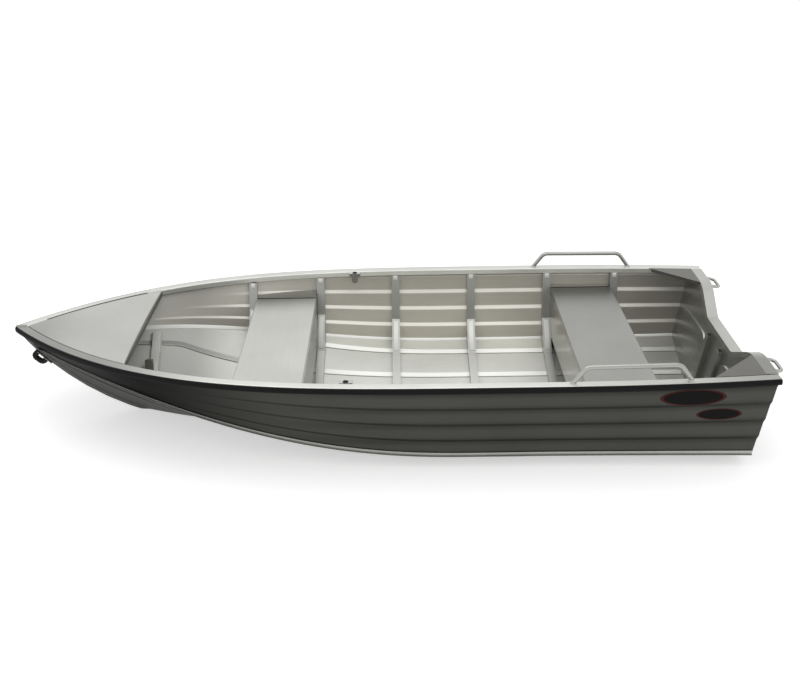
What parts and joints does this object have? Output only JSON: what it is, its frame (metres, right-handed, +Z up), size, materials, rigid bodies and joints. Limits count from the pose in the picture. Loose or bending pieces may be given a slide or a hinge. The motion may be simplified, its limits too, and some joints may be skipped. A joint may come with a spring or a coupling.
{
  "type": "rowing boat",
  "caption": "Open aluminium rowing boat with pressed plank sides, a shallow V bottom, box seats, a foredeck and a transom cut down for an outboard motor.",
  "frame": {"origin": "on the centreline at the waterline of the empty boat, below the aft edge of the transom's top", "axes": "+X forward to the bow, +Y to port, +Z up"},
  "size_m": [3.7515, 1.4732, 0.6865],
  "materials": {
    "hull_outside": "brushed",
    "hull_frame": "brushed",
    "seat": "brushed",
    "deck": "brushed",
    "extrusion": "satin",
    "transom": "brushed",
    "fender": "matt",
    "rail": "polished",
    "socket": "satin",
    "fitting": "satin"
  },
  "bodies": {
    "root": {"hull_side_port": "hull_outside", "hull_side_starboard": "hull_outside", "hull_bottom_port": "hull_outside", "hull_bottom_starboard": "hull_outside", "chine_strip_port": "extrusion", "chine_strip_starboard": "extrusion", "gunwale_port": "extrusion", "gunwale_starboard": "extrusion", "fender_port": "fender", "fender_starboard": "fender", "quarter_knee_port": "extrusion", "quarter_knee_starboard": "extrusion", "grab_rail_port": "rail", "grab_rail_starboard": "rail", "transom_handle_port": "fitting", "transom_handle_starboard": "fitting", "rowlock_socket_port": "socket", "rowlock_socket_starboard": "socket", "transom_stiffener_port": "transom", "transom_stiffener_starboard": "transom", "frame_1": "hull_frame", "frame_2": "hull_frame", "frame_3": "hull_frame", "frame_4": "hull_frame", "frame_5": "hull_frame", "frame_6": "hull_frame", "keel_bar": "extrusion", "frame_bow_floor": "hull_frame", "seat_top_forward": "seat", "seat_top_aft": "seat", "seat_box_forward": "seat", "seat_box_aft": "seat", "foredeck": "deck", "transom_outer": "transom", "transom_inner": "transom", "transom_cap": "extrusion", "bow_eye": "fitting"}
  },
  "joints": []
}
